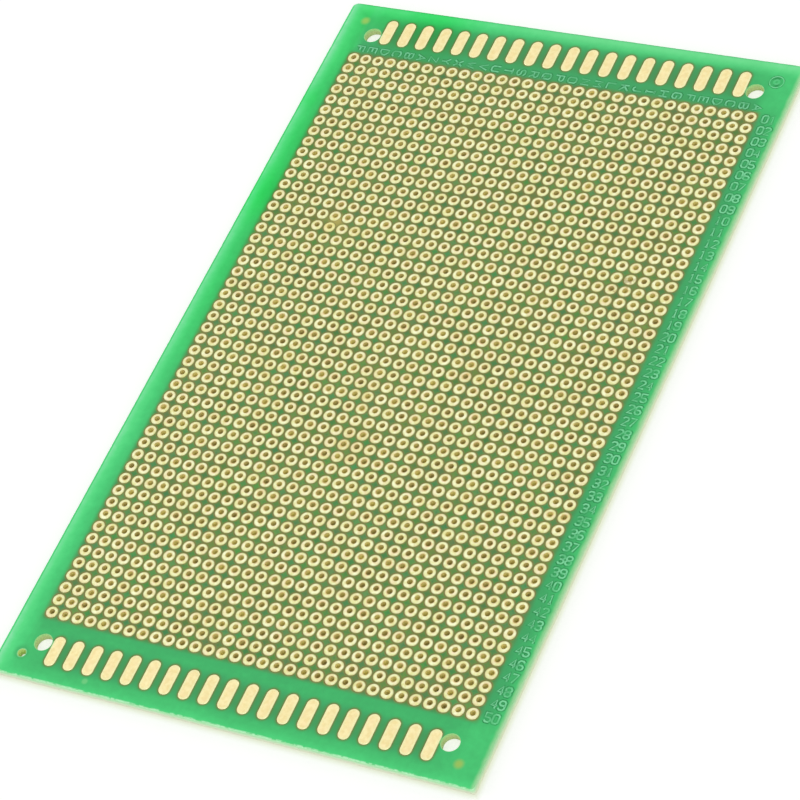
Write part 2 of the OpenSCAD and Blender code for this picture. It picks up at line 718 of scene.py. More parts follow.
    def make(self) -> Material:
        """Write the finish down.

        Returns:
            The material.
        """
        lay = self.layout
        recipe = Recipe(self.name)
        gaps = self.gaps(recipe)
        # the painted light picks the film's colour, from deep green among the pads to pale green at the
        # lit sides
        colour = recipe.ramp(self.painted_through_light(recipe, gaps), [
            (0.0, "4c985b"), (0.14, "48a461"), (0.26, "45ae6a"), (0.38, "46bb6e"), (0.5, "4bca76"),
            (0.62, "50d87f"), (0.78, "5ee68b"), (0.9, "76eb9e"), (1.0, "9aefb8")])
        field = recipe.inside_grid(lay)
        colour = recipe.mix(field, colour, self.field_colour(recipe))
        # olive-brown beside each ring pad and long pad, partly residue and partly painted shade at the
        # pad edges
        ring = recipe.hole_distance(lay) - lay.pad_d / 2
        beside_ring = recipe.fade(ring, 0.1, 0.42) * recipe.inside_grid(lay, 0.3)
        beside_long = recipe.fade(recipe.long_pad_distance(lay), 0.1, 0.6)
        colour = recipe.mix(beside_ring * 0.75, colour, "908a4a")
        colour = recipe.mix(beside_long * 0.55, colour, "6b853f")
        colour = self.rims(recipe, colour, gaps)
        for x, y, radius, soft, share, code in self.marks():
            colour = recipe.mix(recipe.spot(x, y, radius, soft) * share, colour, code)
        worn = recipe.span(recipe.grain(1.1, 3.0, seed=2.9), 0.4, 0.56, 0.45, 1.15)
        colour = recipe.mix(worn * self.tint_share, colour, self.tint)
        recipe.set(Base_Color=colour, Roughness=self.roughness, Specular_IOR_Level=0.1)
        recipe.bump(recipe.grain(0.7, 2.0, seed=1.7), 0.25, 0.02)
        return recipe.material


@dataclass(frozen=True)
class GildedCopperFinish:
    """Pale plated copper of the pads, with stains round a few holes."""

    layout: Layout
    name: str
    face: str
    shade: str
    rim: str
    blush: str
    smoothest: float = 0.28
    roughest: float = 0.44
    # stained patches: place across and along, radius, softness, strength and paint
    stains: tuple[tuple[float, float, float, float, float, str], ...] = (
        (-26.4, 24.6, 1.5, 1.0, 0.38, "ebdc74"), (-21.5, 24.2, 1.6, 1.2, 0.25, "dccb70"),
        (31.6, 23.4, 1.3, 0.8, 0.6, "94794a"), (29.6, 21.0, 1.2, 0.8, 0.55, "b09258"),
        (11.5, -1.2, 0.8, 0.6, 0.45, "d99f5c"), (11.4, 1.3, 0.7, 0.5, 0.2, "e8cf78"),
        (-2.4, -19.0, 3.6, 3.0, 0.28, "d9bd6c"), (-5.5, -8.0, 3.0, 3.0, 0.2, "d9bd6c"))

    def make(self) -> Material:
        """Write the finish down.

        Returns:
            The material.
        """
        lay = self.layout
        recipe = Recipe(self.name)
        field = recipe.inside_grid(lay)
        patches = recipe.span(recipe.grain(0.8, 3.0, seed=0.4), 0.34, 0.66, 0.0, 0.8)
        share = recipe.per_cell(lay) * 0.3 + patches
        colour = recipe.mix(share, self.face, self.shade)
        blush = recipe.span(recipe.grain(1.3, 2.0, seed=9.0), 0.5, 0.66, 0.0, 0.4)
        colour = recipe.mix(blush, colour, self.blush)
        pale_rim = recipe.span(recipe.long_pad_distance(lay), -0.5, -0.1, 0.0, 0.6)
        colour = recipe.mix(pale_rim * (1.0 - field), colour, self.rim)
        drill = lay.hole_d / 2
        lip = recipe.fade(recipe.hole_distance(lay, lay.drill_drift), drill, drill + 0.28)
        warm = lip * recipe.span(recipe.grain(2.6, 1.0, seed=3.0), 0.42, 0.66, 0.15, 0.75)
        colour = recipe.mix(warm * field, colour, "d9b274")
        # darker olive towards each pad's outer edge
        olive_outer_rim = recipe.span(recipe.hole_distance(lay), lay.pad_d / 2 - 0.3, lay.pad_d / 2, 0.0, 0.45)
        colour = recipe.mix(olive_outer_rim * field, colour, "a4b266")
        stains = recipe.span(recipe.grain(5.5, 3.0, seed=5.2), 0.6, 0.76, 0.0, 0.22)
        colour = recipe.mix(stains * field, colour, "d8c070")
        mottle = recipe.span(recipe.grain(0.45, 2.0, seed=2.7), 0.42, 0.6)
        for x, y, radius, soft, share, code in self.stains:
            patch = recipe.spot(x, y, radius, soft) * share
            if share > 0.5:
                patch = patch * mottle
            colour = recipe.mix(patch, colour, code)
        rough = recipe.span(recipe.grain(0.5, 2.0, seed=8.0), 0.3, 0.7, self.smoothest, self.roughest)
        recipe.set(Base_Color=colour, Roughness=rough, Metallic=0.75)
        recipe.bump(recipe.grain(0.25, 2.0, seed=6.0), 0.15, 0.008)
        return recipe.material


@dataclass(frozen=True)
class ResinSheetFinish:
    """The looks of the glass-epoxy sheet, one for each place where it is bare."""

    layout: Layout
    yarn: float = 0.42
    ply: float = 0.2

    def bare_top(self) -> Material:
        """Bare resin between a pad and its lacquer, dull brown partly from residue and partly as painted
        shade at the pad edges, and a pale green lip along the sides.

        Returns:
            The material.
        """
        lay = self.layout
        recipe = Recipe("bare_resin_top")
        # olive-brown, partly residue and partly painted shade beside the pads
        colour = recipe.mix(recipe.grain(0.8, 3.0), "7c7440", "9c8f56")
        gap_x = lay.half_w - abs(recipe.x)
        gap_y = lay.half_l - abs(recipe.y)
        lip = recipe.fade(recipe.least(gap_x, gap_y), 0.6, 0.8)
        colour = recipe.mix(lip, colour, recipe.mix(recipe.grain(0.6, 3.0, seed=3.3), "70d888", "a0e8a8"))
        rings = [(x, y, lay.mount_d / 2 + 0.3, "9ae09a") for x, y in lay.mount_points()]
        rings.append((*lay.tooling_point(), lay.tooling_d / 2 + 0.35, "7ed890"))
        for x, y, radius, code in rings:
            colour = recipe.mix(recipe.spot(x, y, radius, 0.05), colour, code)
        recipe.set(Base_Color=colour, Roughness=0.55, Specular_IOR_Level=0.3)
        recipe.bump(recipe.weave(self.yarn), 0.2, 0.01)
        return recipe.material

    def drilled_wall(self, name: str, dark: str, light: str, top: str, depth: float) -> Material:
        """Drilled wall of a hole, where the glass plies end.

        Args:
            name: the finish's name.
            dark: colour of the resin between the plies.
            light: colour of the plies.
            top: colour that the film lends to the top of the wall.
            depth: how far down the top colour reaches, in millimetres.

        Returns:
            The material.
        """
        lay = self.layout
        recipe = Recipe(name)
        plies = recipe.math("SINE", recipe.z * (2 * math.pi / self.ply))
        fuzz = recipe.grain(0.3, 3.0, seed=4.0)
        share = recipe.half_up(plies) * 0.3 + fuzz * 0.6
        colour = recipe.mix(share, dark, light)
        colour = recipe.mix(recipe.span(recipe.z, lay.sheet_top - depth, lay.sheet_top), colour, top)
        soot = recipe.per_cell(lay, "ROUND", 5.0) * 0.4
        colour = recipe.mix(soot * recipe.inside_grid(lay), colour, "9c8036")
        colour = recipe.mix(recipe.spot(*lay.tooling_point(), 1.2, 0.1), colour, "dcf2a0")
        recipe.set(Base_Color=colour, Roughness=0.7, Specular_IOR_Level=0.25)
        recipe.bump(fuzz, 0.4, 0.03)
        return recipe.material

    def small_wall(self) -> Material:
        """Brown wall of a component hole."""
        return self.drilled_wall("component_hole_wall", "f8ea8d", "fefabd", "e7d785", 0.35)

    def wide_wall(self) -> Material:
        """Green wall of a mounting hole, where light comes through the sheet."""
        return self.drilled_wall("mounting_hole_wall", "c8d898", "dce8ae", "b4ea9c", 0.9)

    def sawn_edge(self) -> Material:
        """Cut side of the sheet, with pale fibres, a painted green glow under the film where light comes
        through the lacquer, and each side painted lighter or darker for how light falls on it.

        Returns:
            The material.
        """
        lay = self.layout
        recipe = Recipe("sawn_edge")
        fibres = recipe.grain(0.9, 4.0, (0.35, 0.35, 5.0), seed=2.0)
        # painted light: the right and front sides get colours of their own for how light falls on them
        right = recipe.span(recipe.x, lay.half_w - 1.0, lay.half_w - 0.3)
        front = recipe.fade(recipe.y, 0.3 - lay.half_l, 1.0 - lay.half_l)
        dark = recipe.mix(front, recipe.mix(right, "bef4b6", "dfeac4"), "e2e8ca")
        light = recipe.mix(front, recipe.mix(right, "d6fccc", "eef4d8"), "f2f0e2")
        colour = recipe.mix(fibres, dark, light)
        knots = recipe.span(recipe.grain(0.35, 2.0, (0.5, 0.5, 2.0), seed=7.0), 0.58, 0.7)
        colour = recipe.mix(knots * 0.3, colour, "d4cf98")
        # painted light: the upper side glows green where light comes through the lacquer
        top = recipe.z + recipe.grain(0.6, 2.0, seed=1.0) * 0.4
        green = recipe.span(top, 0.2, lay.sheet_top + 0.15)
        upper = recipe.mix(front, recipe.mix(right, "80e698", "a6dea6"), "a2eeae")
        colour = recipe.mix(green, colour, upper)
        chips = recipe.chips() * front
        fringe = recipe.span(top, lay.sheet_top - 0.3, lay.sheet_top + 0.05, 0.0, 0.9)
        colour = recipe.mix(chips * fringe, colour, "c4ffcc")
        recipe.set(Base_Color=colour, Roughness=0.75, Specular_IOR_Level=0.3)
        recipe.bump(fibres, 0.5, 0.05)
        return recipe.material

    def underside(self) -> Material:
        """Bare underside, where the weave shows and the pads above shade it.

        Returns:
            The material.
        """
        lay = self.layout
        recipe = Recipe("bare_underside")
        cloth = recipe.weave(self.yarn)
        share = cloth * 0.45 + recipe.grain(3.0, 3.0) * 0.5
        colour = recipe.mix(share, "a9bd6c", "c6d28c")
        rings = recipe.fade(recipe.hole_distance(lay), lay.pad_d / 2 - 0.15, lay.pad_d / 2 + 0.2)
        rings = rings * recipe.inside_grid(lay)
        bars = recipe.fade(recipe.long_pad_distance(lay), -0.2, 0.25)
        colour = recipe.mix(recipe.most(rings, bars) * 0.5, colour, "9a9a52")
        recipe.set(Base_Color=colour, Roughness=0.38, Specular_IOR_Level=0.45)
        recipe.bump(cloth, 0.35, 0.012)
        return recipe.material

    def by_place(self) -> list[Material]:
        """Write every look down, in the order of the places' numbers."""
        writers = {Place.EDGE: self.sawn_edge, Place.UNDERSIDE: self.underside, Place.TOP: self.bare_top,
                   Place.SMALL_WALL: self.small_wall, Place.WIDE_WALL: self.wide_wall}
        return [writers[place]() for place in Place]


# ---------------------------------------------------------------- modelling helpers


def points_of(geometry: list) -> list[bmesh.types.BMVert]:
    """Pick the vertices out of an operator's result."""
    return [g for g in geometry if isinstance(g, bmesh.types.BMVert)]


def face_outwards(bm: Mesh) -> None:
    """Turn every face of a closed mesh outwards."""
    bmesh.ops.recalc_face_normals(bm, faces=bm.faces[:])


def turn_section(bm: Mesh, section: tuple[tuple[float, float], ...], steps: int) -> None:
    """Turn a closed section round the upright axis into a ring.

    Args:
        bm: the mesh that takes the ring.
        section: the section's corners, each a radius and a height.
        steps: number of flats round the ring.
    """
    points = [bm.verts.new((radius, 0, height)) for radius, height in section]
    loop = [bm.edges.new((points[i - 1], points[i])) for i in range(len(points))]
    bmesh.ops.spin(bm, geom=points + loop, axis=(0, 0, 1), cent=(0, 0, 0), angle=2 * math.pi,
                   steps=steps, use_merge=True)


def repeat(bm: Mesh, count: int, step: Vector) -> None:
    """Copy everything in a mesh along a line, doubling it each time.

    Args:
        bm: the mesh, which holds the first copy.
        count: how many copies there are in the end.
        step: from one copy to the next.
    """
    each = len(bm.faces)
    have = 1
    while have < count:
        take = min(have, count - have)
        bm.faces.ensure_lookup_table()
        copied = bmesh.ops.duplicate(bm, geom=bm.faces[:take * each])["geom"]
        bmesh.ops.translate(bm, vec=step * have, verts=points_of(copied))
        have += take


def in_metres(bm: Mesh, name: str) -> bpy.types.Mesh:
    """Turn a millimetre mesh, which is freed, into mesh data in metres.

    Args:
        bm: the mesh, in millimetres.
        name: the data's name.

    Returns:
        The mesh data.
    """
    bmesh.ops.scale(bm, vec=(MM, MM, MM), verts=bm.verts)
    mesh = bpy.data.meshes.new(name)
    bm.to_mesh(mesh)
    bm.free()
    return mesh


def put_in_scene(name: str, data: bpy.types.ID) -> bpy.types.Object:
    """Make an object of a mesh, a lamp or a camera and put it in the scene.

    Args:
        name: the object's name.
        data: what it shows.

    Returns:
        The object.
    """
    thing = bpy.data.objects.new(name, data)
    bpy.context.scene.collection.objects.link(thing)
    return thing


def finish_piece(bm: Mesh, name: str, finishes: list[Material],
                 crease: float = 35.0) -> bpy.types.Object:
    """Turn a millimetre mesh into a finished piece on the board.

    Args:
        bm: the mesh, which is freed.
        name: the piece's name.
        finishes: its materials, in the order of its faces' numbers.
        crease: edges sharper than this many degrees stay sharp.

    Returns:
        The piece's object.
    """
    mesh = in_metres(bm, name)
    mesh.shade_smooth()
    mesh.set_sharp_from_angle(angle=math.radians(crease))
    for finish in finishes:
        mesh.materials.append(finish)
    piece = put_in_scene(name, mesh)
    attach(piece, "root")
    LOG.info("%s: %d faces", name, len(mesh.polygons))
    return piece


@dataclass(frozen=True)
class DrilledSheet:
    """A flat sheet with a round hole on every point of the grid and an outline round it."""

    layout: Layout
    hole_d: float
    hole_sides: int
    inset: float
    edge_step: float
    rough: float
    seed: int
    drift: tuple[float, float] = (0.0, 0.0)
    corner_steps: int = 6
    # points this near the outline are chipped, and calmly where no saw has been
    edge_zone: float = 1.5
    calm: float = 0.35
    wave_rate: float = 0.35
    wave_share: float = 0.45
    weld: float = 0.005

    def cell(self, bm: Mesh) -> None:
        """Make one square of the grid with its hole, four corners and no other outer points.

        Args:
            bm: the mesh that takes the square.
        """
        circle = bmesh.ops.create_circle(bm, cap_ends=False, radius=self.hole_d / 2,
                                         segments=self.hole_sides)
        outer = points_of(bmesh.ops.extrude_edge_only(bm, edges=bm.edges[:])["geom"])
        half = self.layout.pitch / 2
        for point in outer:
            point.co *= half / max(abs(point.co.x), abs(point.co.y))
        # every outer point joins the corner of its own quarter, so that neighbours share their sides
        corner: dict[tuple[bool, bool], bmesh.types.BMVert] = {}
        for point in sorted(outer, key=lambda p: -min(abs(p.co.x), abs(p.co.y))):
            corner.setdefault((point.co.x > TINY, point.co.y > TINY), point)
        merge = {p: corner[(p.co.x > TINY, p.co.y > TINY)] for p in outer}
        bmesh.ops.weld_verts(bm, targetmap={p: c for p, c in merge.items() if p is not c})
        bmesh.ops.translate(bm, vec=(*self.drift, 0), verts=circle["verts"])

    def outline(self, bm: Mesh) -> list[bmesh.types.BMEdge]:
        """Draw the sheet's outer edge, with its corners rounded and its line slightly uneven.

        Args:
            bm: the mesh that takes the edges.

        Returns:
            The edges of the outline.
        """
        lay = self.layout
        known = set(bm.edges)
        half_w = lay.half_w - self.inset
        half_l = lay.half_l - self.inset
        spots = ((-half_w, -half_l), (half_w, -half_l), (half_w, half_l), (-half_w, half_l))
        corners = [bm.verts.new((x, y, 0)) for x, y in spots]
        bm.faces.new(corners)
        for group, radius in (([corners[3]], lay.worn_corner - self.inset), (corners[:3], lay.corner)):
            bmesh.ops.bevel(bm, geom=group, affect="VERTICES", offset=radius, offset_type="OFFSET",
                            segments=self.corner_steps, profile=0.5, material=-1)
        plate = max(bm.faces, key=lambda f: f.calc_area())
        bmesh.ops.delete(bm, geom=[plate], context="FACES_ONLY")
        long_edges = [e for e in bm.edges if e not in known and e.calc_length() > lay.mount_inset]
        for edge in long_edges:
            cuts = int(edge.calc_length() / self.edge_step)
            bmesh.ops.subdivide_edges(bm, edges=[edge], cuts=cuts)
        edges = [e for e in bm.edges if e.is_wire and e not in known]
        dice = random.Random(self.seed)
        points = {v for e in edges for v in e.verts}
        for point in sorted(points, key=lambda v: (round(v.co.x, 3), round(v.co.y, 3))):
            self.nick(point, dice)
        return edges

    def nick(self, point: bmesh.types.BMVert, dice: random.Random) -> None:
        """Move one point of the outline inwards by a small uneven amount.

        Args:
            point: the point.
            dice: where the small chips come from.
        """
        lay = self.layout
        spot = Vector((point.co.x * self.wave_rate, point.co.y * self.wave_rate, self.seed))
        wave = 0.5 + 0.5 * noise.noise(spot)
        # the third power keeps most of the chips small
        chip = dice.random() ** 3
        sawn = point.co.x > lay.half_w - self.edge_zone or point.co.y < self.edge_zone - lay.half_l
        depth = self.rough * (1.0 if sawn else self.calm) * (
            self.wave_share * wave + (1 - self.wave_share) * chip)
        lay.push_in(point, depth, self.edge_zone)

    def round_cut(self, bm: Mesh, x: float, y: float, d: float, sides: int,
                  straight: float = 0.0) -> list[bmesh.types.BMEdge]:
        """Draw a round hole, or a long one with round ends.

        Args:
            bm: the mesh that takes the edges.
            x: middle across the board.
            y: middle along the board.
            d: width of the hole.
            sides: number of flats round it.
            straight: length of the straight part between round ends.

        Returns:
            The edges of the cut.
        """
        place = Matrix.Translation((x, y, 0)) @ Matrix.Rotation(math.pi / sides, 4, "Z")
        # a little over half the width, so that flats and corners lie equally far from the true circle
        reach = d / 2 / math.cos(math.pi / sides) ** 0.5
        rim = bmesh.ops.create_circle(bm, cap_ends=False, radius=reach, segments=sides,
                                      matrix=place)["verts"]
        for point in rim:
            point.co.y += math.copysign(straight / 2, point.co.y - y)
        return list(dict.fromkeys(e for p in rim for e in p.link_edges))

    def flat(self, cuts: list[tuple[float, float, float, int, float]]) -> Mesh:
        """Make the whole sheet as one flat layer of faces at height zero.

        Args:
            cuts: each extra hole's x, y, width, number of flats and straight length.

        Returns:
            The mesh.
        """
        lay = self.layout
        bm = bmesh.new()
        self.cell(bm)
        repeat(bm, lay.columns, Vector((-lay.pitch, 0, 0)))
        repeat(bm, lay.rows, Vector((0, -lay.pitch, 0)))
        bmesh.ops.translate(bm, vec=(lay.column_x(0), lay.row_y(0), 0), verts=bm.verts)
        bmesh.ops.remove_doubles(bm, verts=bm.verts, dist=self.weld)
        half_x, half_y = (half - 2 * self.weld for half in lay.grid_half)
        frame_edges = [e for e in bm.edges if e.is_boundary and all(
            abs(v.co.x) > half_x or abs(v.co.y) > half_y for v in e.verts)]
        edges = frame_edges + self.outline(bm)
        for x, y, d, sides, straight in cuts:
            edges += self.round_cut(bm, x, y, d, sides, straight)
        bmesh.ops.triangle_fill(bm, use_beauty=True, use_dissolve=False, edges=edges, normal=(0, 0, 1))
        return bm

    def thicken(self, bm: Mesh, low: float, high: float) -> None:
        """Give the flat layer its thickness.

        Args:
            bm: the flat mesh.
            low: height of its underside.
            high: height of its top.
        """
        bmesh.ops.translate(bm, vec=(0, 0, high), verts=bm.verts)
        grown = bmesh.ops.extrude_face_region(bm, geom=bm.faces[:])["geom"]
        bmesh.ops.translate(bm, vec=(0, 0, low - high), verts=points_of(grown))
        face_outwards(bm)


# ---------------------------------------------------------------- sub-assemblies


@dataclass
class Laminate:
    """The glass-epoxy sheet with its drilled holes and sawn sides."""

    layout: Layout
    hole_sides: int = 16
    plies: int = 6
    edge_step: float = 0.6
    roughness: float = 0.05
    edge_zone: float = 0.7
    # how far the side is frayed, and how fast that changes along it and from ply to ply
    fray_least: float = 0.03
    fray_extra: float = 0.045
    fray_rate: float = 1.1
    ply_shift: float = 7.3
    seed: int = 11

    def build(self) -> Mesh:
        """Make the drilled sheet and fray its sides ply by ply.

        Returns:
            The mesh.
        """
        lay = self.layout
        sheet = DrilledSheet(lay, lay.hole_d, self.hole_sides, inset=0.0, edge_step=self.edge_step,
                             rough=self.roughness, seed=self.seed, drift=lay.drill_drift)
        cuts = [(x, y, lay.mount_d, lay.wide_sides, 0.0) for x, y in lay.mount_points()]
        cuts.append((*lay.tooling_point(), lay.tooling_d, lay.narrow_sides, 0.0))
        bm = sheet.flat(cuts)
        sheet.thicken(bm, 0.0, lay.sheet_top)
        self.fray(bm)
        for face in bm.faces:
            face.material_index = self.place_of(face).value
        return bm

    def near_outline(self, point: Vector) -> bool:
        """Tell whether a point is on the sheet's outer wall."""
        lay = self.layout
        return abs(point.x) > lay.half_w - self.edge_zone or abs(point.y) > lay.half_l - self.edge_zone

    def fray(self, bm: Mesh) -> None:
        """Cut the outer wall into plies and leave each a little uneven.

        Args:
            bm: the sheet.
        """
        lay = self.layout
        upright = [e for e in bm.edges if self.near_outline(e.verts[0].co)
                   and abs(e.verts[0].co.z - e.verts[1].co.z) > lay.sheet_top / 2]
        known = set(bm.verts)
        bmesh.ops.subdivide_edges(bm, edges=upright, cuts=self.plies - 1, use_grid_fill=True)
        for point in bm.verts:
            if point in known:
                continue
            ply = point.co.z / lay.sheet_top * self.plies
            spot = (point.co.x * self.fray_rate, point.co.y * self.fray_rate, ply * self.ply_shift)
            wave = noise.noise(Vector(spot))
            lay.push_in(point, self.fray_least + self.fray_extra * (0.5 + wave), self.edge_zone)

    def place_of(self, face: bmesh.types.BMFace) -> Place:
        """Tell where on the sheet a face lies.

        Args:
            face: the face.

        Returns:
            Its place.
        """
        if abs(face.normal.z) > LEVEL:
            return Place.TOP if face.normal.z > 0 else Place.UNDERSIDE
        middle = face.calc_center_median()
        if self.near_outline(middle):
            return Place.EDGE
        half_x, half_y = self.layout.grid_half
        small = abs(middle.x) < half_x and abs(middle.y) < half_y
        return Place.SMALL_WALL if small else Place.WIDE_WALL

    def dress(self, bm: Mesh) -> bpy.types.Object:
        """Finish the sheet and put it in the laminate's place.

        Args:
            bm: the sheet.

        Returns:
            The piece's object.
        """
        finishes = ResinSheetFinish(self.layout).by_place()
        piece = finish_piece(bm, "glass_epoxy_sheet", finishes)
        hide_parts("laminate")
        return piece


@dataclass
class LacquerFilm:
    """The film of green lacquer with an opening over each pad."""

    layout: Layout
    inset: float = 0.03
    opening_sides: int = 24
    mount_gap: float = 0.08
    tooling_gap: float = 0.18
    edge_step: float = 0.35
    roughness: float = 0.2
    seed: int = 23

    def build(self) -> Mesh:
        """Make the film with its openings and its chipped outer edge.

        Returns:
            The mesh.
        """
        lay = self.layout
        sheet = DrilledSheet(lay, lay.opening_d, self.opening_sides, inset=self.inset,
                             edge_step=self.edge_step, rough=self.roughness, seed=self.seed)
        wide = lay.mount_d + 2 * self.mount_gap
        cuts = [(x, y, wide, lay.wide_sides, 0.0) for x, y in lay.mount_points()]
        cuts.append((*lay.tooling_point(), lay.tooling_d + 2 * self.tooling_gap, lay.narrow_sides, 0.0))
        width = lay.edge_pad_w + 2 * lay.opening_gap
        straight = lay.edge_pad_len - lay.edge_pad_w
        for side in Side:
            for x in lay.edge_pad_xs():
                cuts.append((x, side.value * lay.edge_pad_y, width, lay.narrow_sides, straight))
        bm = sheet.flat(cuts)
        sheet.thicken(bm, lay.sheet_top, lay.film_top)
        return bm

    def dress(self, bm: Mesh) -> bpy.types.Object:
        """Finish the film and put it in the solder mask's place.

        Args:
            bm: the film.

        Returns:
            The piece's object.
        """
        piece = finish_piece(bm, "lacquer_film", [LacquerFinish(self.layout).make()])
        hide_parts("solder_mask")
        return piece


@dataclass
class RingPads:
    """The columns of round copper pads with a drilled hole in each."""

    layout: Layout
    finish: Material
    sides: int = 18
    etch: float = 0.035

    def ring(self) -> Mesh:
        """Turn one pad from its section, with the sloping side that etching leaves.

        Returns:
            The pad, standing on the sheet at the middle of the board.
        """
        lay = self.layout
        bm = bmesh.new()
        inner, outer = lay.hole_d / 2, lay.pad_d / 2
        low, high = lay.sheet_top, lay.copper_top
        section = ((inner, low), (inner, high), (outer - self.etch, high), (outer, low))
        turn_section(bm, section, self.sides)
        bmesh.ops.remove_doubles(bm, verts=bm.verts, dist=MERGE)
        drilled = [p for p in bm.verts if math.hypot(p.co.x, p.co.y) < (inner + outer) / 2]
        bmesh.ops.translate(bm, vec=(*lay.drill_drift, 0), verts=drilled)
        face_outwards(bm)
        return bm

    def build(self, index: int) -> Mesh:
        """Make one column of pads.

        Args:
            index: the column, counted from the right-hand one.

        Returns:
            The column's mesh.
        """
        lay = self.layout
        bm = self.ring()
        bmesh.ops.translate(bm, vec=(lay.column_x(index), lay.row_y(0), 0), verts=bm.verts)
        repeat(bm, lay.rows, Vector((0, -lay.pitch, 0)))
        return bm

    def dress(self, bm: Mesh, index: int) -> bpy.types.Object:
        """Finish one column and put it in its node's place.

        Args:
            bm: the column.
            index: which column it is, counted from the right-hand one.

        Returns:
            The piece's object.
        """
        letter = ALPHABET[index % len(ALPHABET)].lower() + ("" if index < len(ALPHABET) else "2")
        piece = finish_piece(bm, f"ring_pads_{letter}", [self.finish])
        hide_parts(f"pad_column_{letter}")
        return piece


@dataclass
class EdgePads:
    """The long copper pads along one end."""

    layout: Layout
    side: Side
    finish: Material
    etch: float = 0.035

    def build(self) -> Mesh:
        """Stretch a disc into a long pad and repeat it across the end.

        Returns:
            The row's mesh.
        """
        lay = self.layout
        bm = bmesh.new()
        sides = lay.narrow_sides
        disc = bmesh.ops.create_circle(bm, cap_ends=True, radius=lay.edge_pad_w / 2, segments=sides,
                                       matrix=Matrix.Rotation(math.pi / sides, 4, "Z"))["verts"]
        # the flats of the disc are widened to the pad's full width
        widest = max(p.co.x for p in disc)
        bmesh.ops.scale(bm, vec=(lay.edge_pad_w / 2 / widest, 1, 1), verts=disc)
        for point in disc:
            point.co.y += math.copysign((lay.edge_pad_len - lay.edge_pad_w) / 2, point.co.y)
        lift = lay.copper_top - lay.sheet_top
        grown = points_of(bmesh.ops.extrude_face_region(bm, geom=bm.faces[:])["geom"])
        bmesh.ops.translate(bm, vec=(0, 0, lift), verts=grown)
        for point in grown:
            point.co.x -= math.copysign(self.etch, point.co.x)
            point.co.y -= math.copysign(self.etch, point.co.y)
        face_outwards(bm)
        xs = lay.edge_pad_xs()
        place = (xs[0], self.side.value * lay.edge_pad_y, lay.sheet_top)
        bmesh.ops.translate(bm, vec=place, verts=bm.verts)
        repeat(bm, lay.edge_pad_count, Vector((xs[1] - xs[0], 0, 0)))
        return bm

    def dress(self, bm: Mesh) -> bpy.types.Object:
        """Finish the row and put it in its node's place.

        Args:
            bm: the row.

        Returns:
            The piece's object.
        """
        word = self.side.name.lower()
        piece = finish_piece(bm, f"{word}_long_pads", [self.finish])
        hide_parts(f"{word}_edge_pads")
        return piece


# Each sign's strokes, as points on a grid of so many columns and rows, counted from the lower
# left corner. A slash lifts the pen.
GLYPH_COLUMNS = 4
GLYPH_ROWS = 6
STROKES = {
    "0": "10 30 41 45 36 16 05 01 10", "1": "15 26 20/10 30", "2": "05 16 36 45 44 00 40",
    "3": "05 16 36 45 44 33 13/33 42 41 30 10 01", "4": "30 36 02 42", "5": "46 06 03 33 42 41 30 10 01",
    "6": "45 36 16 05 01 10 30 41 42 33 03", "7": "06 46 10",
    "8": "13 04 05 16 36 45 44 33 13 02 01 10 30 41 42 33", "9": "43 13 04 05 16 36 45 41 30 10 01",
    "A": "00 26 40/12 32", "B": "00 06 36 45 44 33 03/33 42 41 30 00", "C": "45 36 16 05 01 10 30 41",
    "D": "00 06 26 44 42 20 00", "E": "46 06 00 40/03 33", "F": "46 06 00/03 33",
    "G": "45 36 16 05 01 10 30 41 43 23", "H": "00 06/40 46/03 43", "I": "20 26/10 30/16 36",
    "J": "36 31 20 10 01", "K": "00 06/46 02/13 40", "L": "06 00 40", "M": "00 06 23 46 40",
    "N": "00 06 40 46", "O": "10 30 41 45 36 16 05 01 10", "P": "00 06 36 45 44 33 03",
    "Q": "10 30 41 45 36 16 05 01 10/22 40", "R": "00 06 36 45 44 33 03/23 40",
    "S": "45 36 16 05 04 13 33 42 41 30 10 01", "T": "06 46/26 20", "U": "06 01 10 30 41 46",
    "V": "06 20 46", "W": "06 10 24 30 46", "X": "00 46/06 40", "Y": "06 23 46/23 20", "Z": "06 46 00 40",
}


